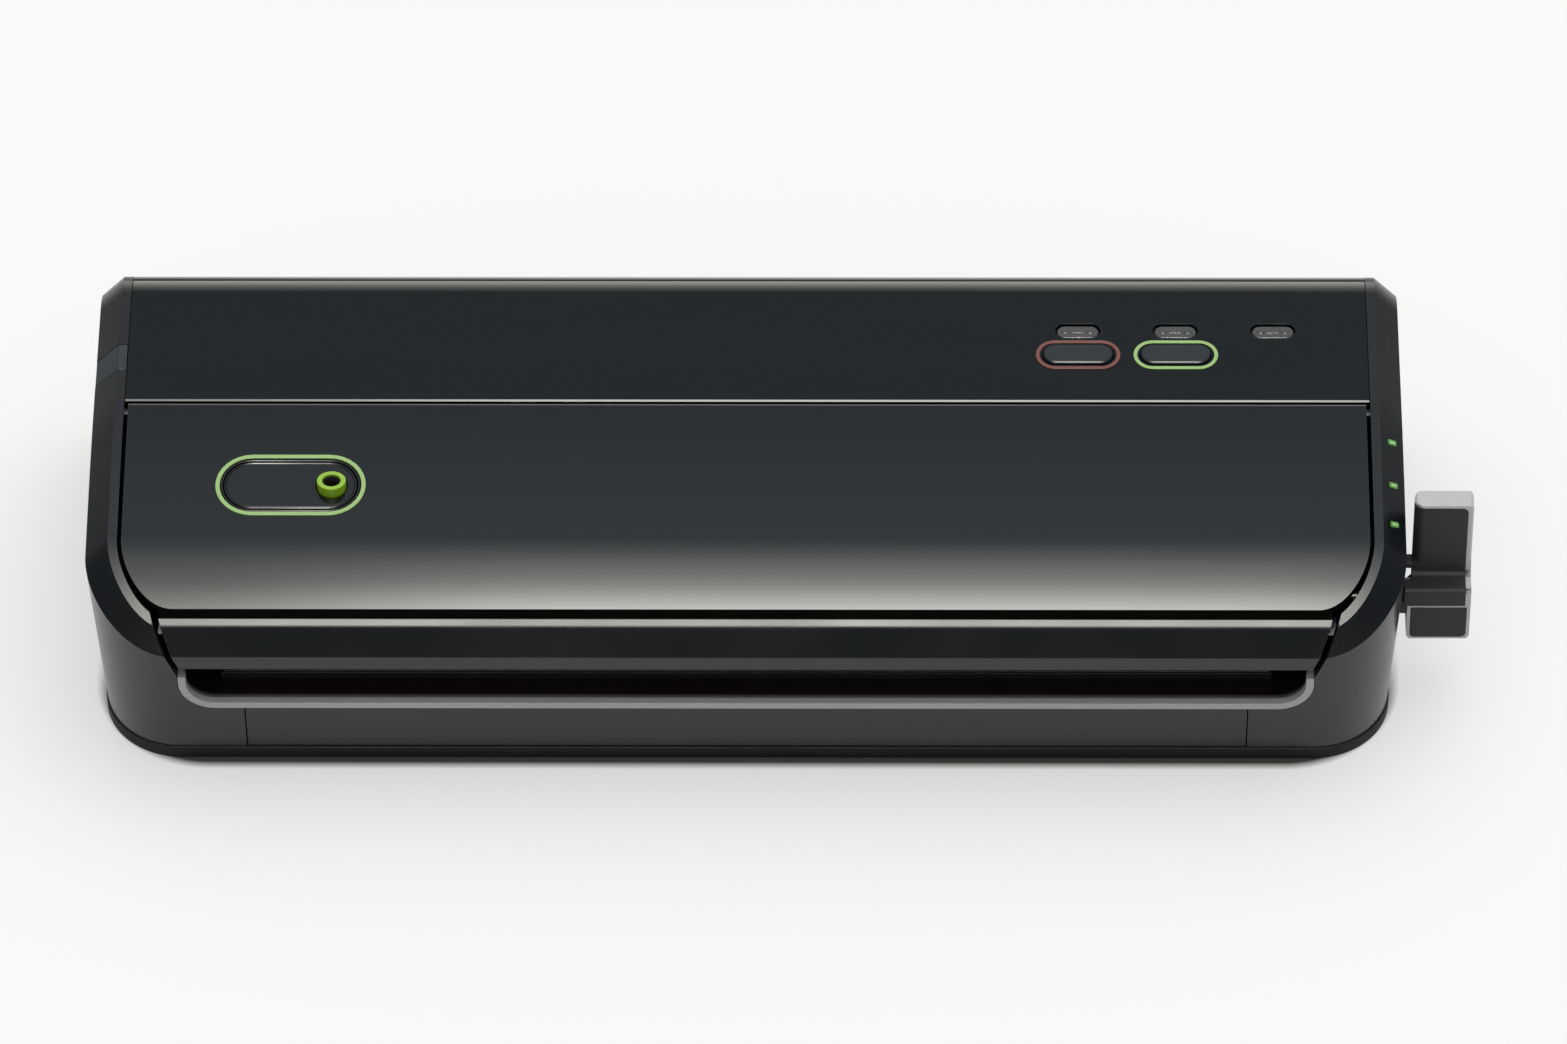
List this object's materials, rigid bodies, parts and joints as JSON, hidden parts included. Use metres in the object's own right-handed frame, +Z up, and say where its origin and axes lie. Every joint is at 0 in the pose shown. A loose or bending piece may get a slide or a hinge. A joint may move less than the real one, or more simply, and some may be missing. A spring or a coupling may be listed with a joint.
{
  "type": "vacuum sealer",
  "caption": "Countertop vacuum sealer for food bags with a hinged lid, side locking lever, push buttons, accessory port and a wide bag slot.",
  "frame": {"origin": "on the table under the middle of the housing, at the face of the middle foot", "axes": "+X towards the lever side, +Y towards the back, +Z up"},
  "size_m": [0.3996, 0.136, 0.076],
  "materials": {
    "base_plastic": "black moulded plastic, fine texture",
    "cap_plastic": "charcoal blue-grey moulded plastic, satin",
    "inset_plastic": "lighter charcoal moulded plastic, satin",
    "front_plastic": "dark grey moulded plastic, satin",
    "fascia_plastic": "dark charcoal moulded plastic, satin",
    "liner_plastic": "dark grey moulded plastic",
    "gloss_black": "piano black, polished",
    "plate_black": "black, half gloss",
    "deck_grey": "light grey moulded plastic, satin",
    "tray_grey": "mid grey moulded plastic",
    "gasket_rubber": "black foam rubber, matte",
    "foot_rubber": "black rubber, matte",
    "dome_rubber": "grey silicone rubber",
    "hose_rubber": "translucent grey silicone",
    "pressure_rubber": "brick red silicone rubber",
    "heater_metal": "bare resistance ribbon",
    "release_tape": "dark brown glass cloth with release coating",
    "motor_steel": "zinc plated steel can",
    "bracket_steel": "zinc plated steel",
    "shaft_steel": "bright ground steel",
    "pin_steel": "black oxide steel",
    "screw_steel": "zinc plated steel",
    "pump_plastic": "black moulded plastic",
    "valve_plastic": "natural nylon",
    "circuit_board": "green solder mask",
    "transformer_iron": "varnished laminations",
    "capacitor_sleeve": "dark blue sleeve",
    "window_clear": "clear plastic window, frosted inside",
    "lamp": "clear epoxy lamp, unlit",
    "green_mark": "bright green moulded mark",
    "green_trim": "bright green painted line",
    "red_trim": "red brown painted line",
    "port_green": "bright green soft plastic",
    "lever_grey": "light grey moulded plastic, satin",
    "lever_dark": "dark grey moulded plastic, satin",
    "button_black": "black, half gloss",
    "fan_plastic": "natural moulded plastic"
  },
  "bodies": {
    "housing": {"base_tray": "base_plastic", "left_end_cap": "cap_plastic", "right_end_cap": "cap_plastic", "left_cap_inset": "inset_plastic", "front_panel": "front_plastic", "rear_cover": "cap_plastic", "control_panel": "gloss_black", "inner_frame": "base_plastic", "deck": "deck_grey", "drip_tray": "tray_grey", "drip_tray_wall": "tray_grey", "lower_gasket": "gasket_rubber", "seal_bar": "base_plastic", "heating_strip": "heater_metal", "release_tape": "release_tape", "pump_motor": "motor_steel", "pump_head": "pump_plastic", "pump_bracket": "bracket_steel", "vacuum_hose": "hose_rubber", "valve_block": "valve_plastic", "main_board": "circuit_board", "transformer": "transformer_iron", "capacitors": "capacitor_sleeve", "button_board": "circuit_board", "button_switches": "base_plastic", "led_windows": "window_clear", "indicator_leds": "lamp", "latch_switch": "base_plastic", "cord_gland": "gasket_rubber", "rubber_feet": "foot_rubber", "base_screws": "screw_steel", "rear_screws": "screw_steel", "hinge_pins": "pin_steel", "position_marks": "green_mark", "seal_button_trim": "red_trim", "vacuum_button_trim": "green_trim", "seal_button_dome": "dome_rubber", "vacuum_button_dome": "dome_rubber"},
    "lid": {"lid_panel": "gloss_black", "lid_frame": "fascia_plastic", "lid_liner": "liner_plastic", "upper_gasket": "gasket_rubber", "pressure_strip": "pressure_rubber", "accessory_plate": "plate_black", "accessory_trim": "green_trim", "accessory_port": "port_green", "accessory_duct": "hose_rubber", "lid_catches": "bracket_steel", "lid_screws": "screw_steel"},
    "lever": {"lever_shell": "lever_grey", "lever_cover": "lever_dark", "lever_screw": "screw_steel", "latch_shaft": "shaft_steel"},
    "latch_link": {"latch_link": "bracket_steel"},
    "cross_shaft": {"cross_shaft": "shaft_steel", "latch_hooks": "bracket_steel"},
    "seal_button": {"seal_button": "button_black"},
    "vacuum_button": {"vacuum_button": "button_black"},
    "rotor": {"motor_shaft": "shaft_steel", "cooling_fan": "fan_plastic"}
  },
  "joints": [
    {"name": "lid_hinge", "type": "hinge", "parent": "housing", "child": "lid", "pos_m": [0, 0.006, 0.0719], "axis": [-1, 0, 0], "range_deg": [0, 65]},
    {"name": "lever_turn", "type": "hinge", "parent": "housing", "child": "lever", "pos_m": [0.19, -0.03, 0.0335], "axis": [-1, 0, 0], "range_deg": [0, 42]},
    {"name": "cross_turn", "type": "hinge", "parent": "housing", "child": "cross_shaft", "pos_m": [0, -0.03, 0.0115], "axis": [-1, 0, 0], "range_deg": [0, 42]},
    {"name": "link_turn", "type": "hinge", "parent": "lever", "child": "latch_link", "pos_m": [0.178, -0.039, 0.0335], "axis": [-1, 0, 0], "range_deg": [-42, 0]},
    {"name": "seal_press", "type": "slide", "parent": "housing", "child": "seal_button", "axis": [0, 0, -1], "range_m": [0, 0.0008], "stiffness_N_per_m": 600, "springref_m": -0.001, "deforming": ["seal_button_dome"]},
    {"name": "vacuum_press", "type": "slide", "parent": "housing", "child": "vacuum_button", "axis": [0, 0, -1], "range_m": [0, 0.0008], "stiffness_N_per_m": 600, "springref_m": -0.001, "deforming": ["vacuum_button_dome"]},
    {"name": "rotor_spin", "type": "hinge", "parent": "housing", "child": "rotor", "pos_m": [-0.046, 0.035, 0.031], "axis": [1, 0, 0], "continuous": true}
  ],
  "couplings": [
    {"joint": "cross_turn", "follows": "lever_turn", "ratio": 1},
    {"joint": "link_turn", "follows": "lever_turn", "ratio": -1}
  ]
}
